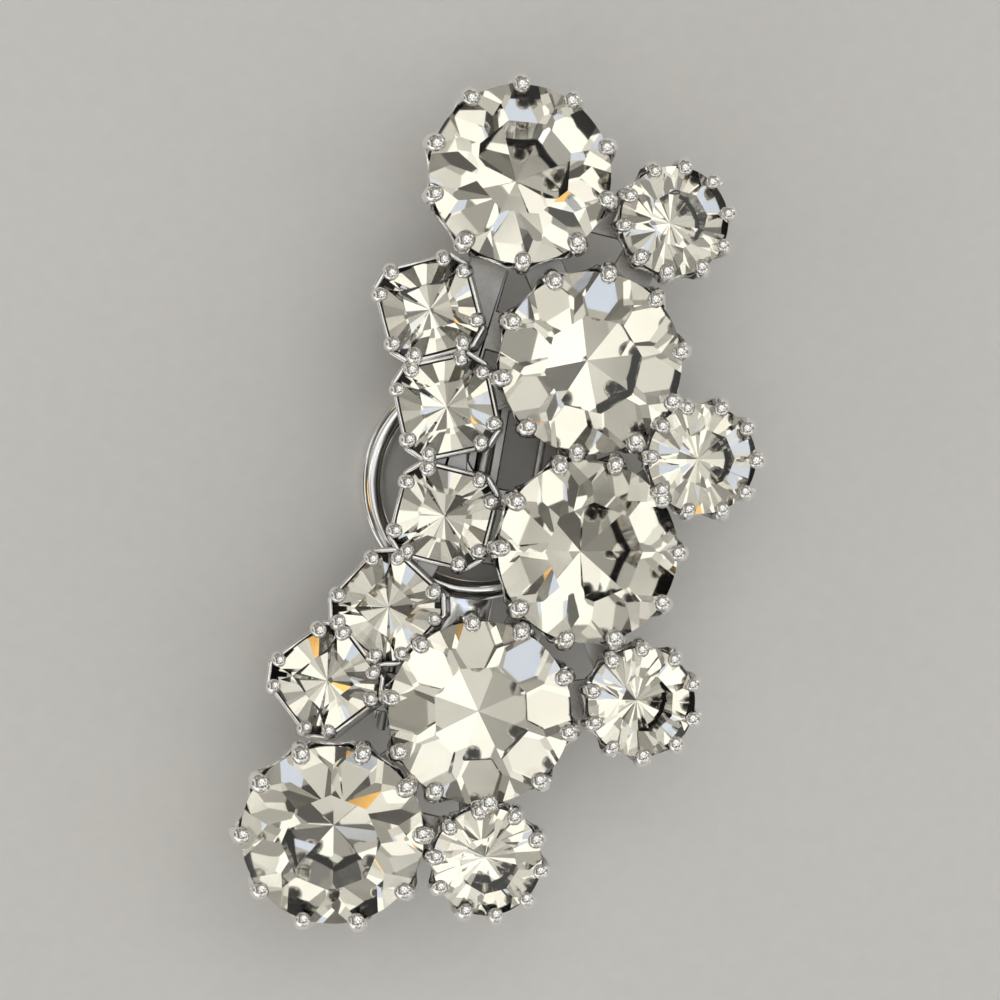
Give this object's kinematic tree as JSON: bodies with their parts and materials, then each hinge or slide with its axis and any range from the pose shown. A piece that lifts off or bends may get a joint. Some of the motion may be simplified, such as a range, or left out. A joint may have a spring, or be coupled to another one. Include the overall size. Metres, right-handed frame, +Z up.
{
  "type": "clip-on earring",
  "caption": "Clip-on earring: a curved spray of claw-set clear round and square stones in silver-toned cups, on a hinged ring clip.",
  "frame": {"origin": "centre of the clip's ring, on the surface that the earring lies on", "axes": "+Y towards the top of the earring, +Z up through the stones, +X to the right seen from the front"},
  "size_m": [0.0233, 0.0374, 0.009],
  "materials": {
    "setting_metal": "bright silver-toned plating, lightly worn",
    "clip_metal": "polished plating with fine scratches",
    "round_stones": "clear cut glass with a silvered back",
    "square_stones": "clear cut glass with a silvered back"
  },
  "bodies": {
    "earring": {"settings": "setting_metal", "hinge_pin": "clip_metal", "large_stone_1": "round_stones", "large_stone_2": "round_stones", "large_stone_3": "round_stones", "large_stone_4": "round_stones", "large_stone_5": "round_stones", "small_stone_1": "round_stones", "small_stone_2": "round_stones", "small_stone_3": "round_stones", "small_stone_4": "round_stones", "square_stone_1": "square_stones", "square_stone_2": "square_stones", "square_stone_3": "square_stones", "square_stone_4": "square_stones", "square_stone_5": "square_stones"},
    "lever": {"clip_lever": "clip_metal"}
  },
  "joints": [
    {"name": "clip_hinge", "type": "hinge", "parent": "earring", "child": "lever", "pos_m": [-0.00182, -0.01034, 0.0012], "axis": [-0.9848, 0.1736, 0], "range_deg": [0, 95]}
  ]
}
